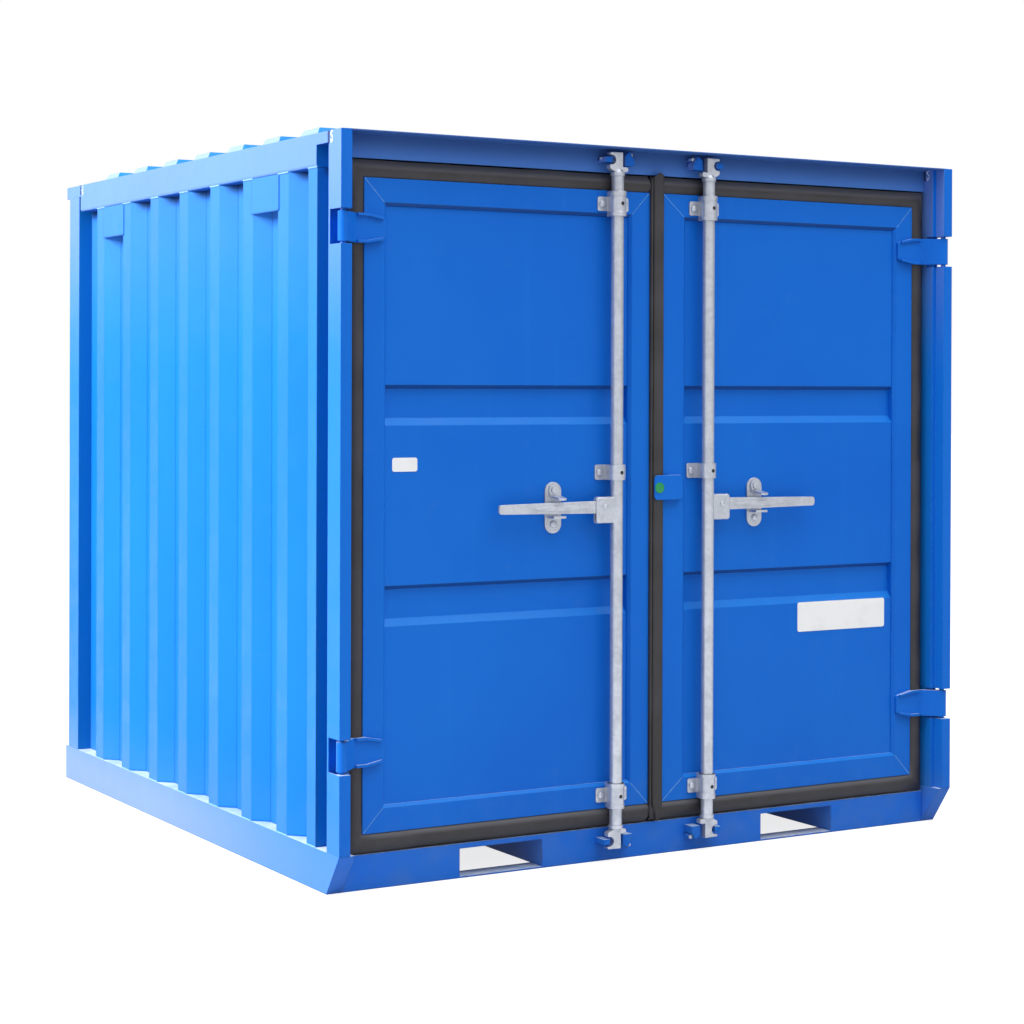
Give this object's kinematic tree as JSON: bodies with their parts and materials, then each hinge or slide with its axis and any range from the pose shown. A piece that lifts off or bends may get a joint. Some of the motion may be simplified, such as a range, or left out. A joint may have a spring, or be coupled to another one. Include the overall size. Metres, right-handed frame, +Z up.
{
  "type": "small steel storage container",
  "caption": "Small blue steel storage container with corrugated walls and roof, rubber-sealed double doors, galvanised lock bars with handles, side vents and fork pockets.",
  "frame": {"origin": "on the ground under the middle of the container", "axes": "+X along the front to the right as seen from the doors, +Y from the doors to the rear, +Z up"},
  "size_m": [1.95, 1.98, 1.91],
  "materials": {
    "blue_paint": "satin blue paint on steel",
    "galvanised": "hot-dip galvanised steel",
    "seal_rubber": "matt black extruded rubber",
    "floor_ply": "oiled plywood"
  },
  "bodies": {
    "root": {"bottom_rail_left": "blue_paint", "bottom_rail_right": "blue_paint", "front_sill": "blue_paint", "rear_sill": "blue_paint", "fork_pocket_left": "blue_paint", "fork_pocket_right": "blue_paint", "cross_members": "blue_paint", "floor": "floor_ply", "front_post_left": "blue_paint", "front_post_right": "blue_paint", "hinge_pins": "galvanised", "front_header": "blue_paint", "header_lip": "blue_paint", "rear_post_left": "blue_paint", "rear_post_right": "blue_paint", "rear_header": "blue_paint", "top_rail_left": "blue_paint", "top_rail_right": "blue_paint", "side_wall_left": "blue_paint", "side_wall_right": "blue_paint", "vent_covers": "blue_paint", "rear_wall": "blue_paint", "roof": "blue_paint", "cam_keepers": "blue_paint"},
    "left_door": {"door_frame_left": "blue_paint", "door_panel_left": "blue_paint", "door_seal_left": "seal_rubber", "hinge_leaves_left": "blue_paint", "bar_guides_left": "galvanised", "handle_retainer_left": "galvanised"},
    "right_door": {"door_frame_right": "blue_paint", "door_panel_right": "blue_paint", "door_seal_right": "seal_rubber", "hinge_leaves_right": "blue_paint", "bar_guides_right": "galvanised", "handle_retainer_right": "galvanised", "middle_seal": "seal_rubber", "closing_flap": "blue_paint"},
    "left_bar": {"lock_bar_left": "galvanised", "bar_cams_left": "galvanised", "bar_handle_left": "galvanised"},
    "right_bar": {"lock_bar_right": "galvanised", "bar_cams_right": "galvanised", "bar_handle_right": "galvanised"},
    "left_catch": {"handle_catch_left": "galvanised"},
    "right_catch": {"handle_catch_right": "galvanised"}
  },
  "joints": [
    {"name": "left_door_hinge", "type": "hinge", "parent": "root", "child": "left_door", "pos_m": [-0.96, -0.97, 0.9], "axis": [0, 0, -1], "range_deg": [0, 266]},
    {"name": "right_door_hinge", "type": "hinge", "parent": "root", "child": "right_door", "pos_m": [0.96, -0.97, 0.9], "axis": [0, 0, 1], "range_deg": [0, 266]},
    {"name": "left_bar_turn", "type": "hinge", "parent": "left_door", "child": "left_bar", "pos_m": [-0.147, -0.952, 0.9], "axis": [0, 0, -1], "range_deg": [-110, 0]},
    {"name": "right_bar_turn", "type": "hinge", "parent": "right_door", "child": "right_bar", "pos_m": [0.147, -0.952, 0.9], "axis": [0, 0, 1], "range_deg": [-110, 0]},
    {"name": "left_catch_swing", "type": "hinge", "parent": "left_door", "child": "left_catch", "pos_m": [-0.325, -0.925, 0.984], "axis": [0, 1, 0], "range_deg": [-90, 0]},
    {"name": "right_catch_swing", "type": "hinge", "parent": "right_door", "child": "right_catch", "pos_m": [0.325, -0.925, 0.984], "axis": [0, -1, 0], "range_deg": [-90, 0]}
  ]
}
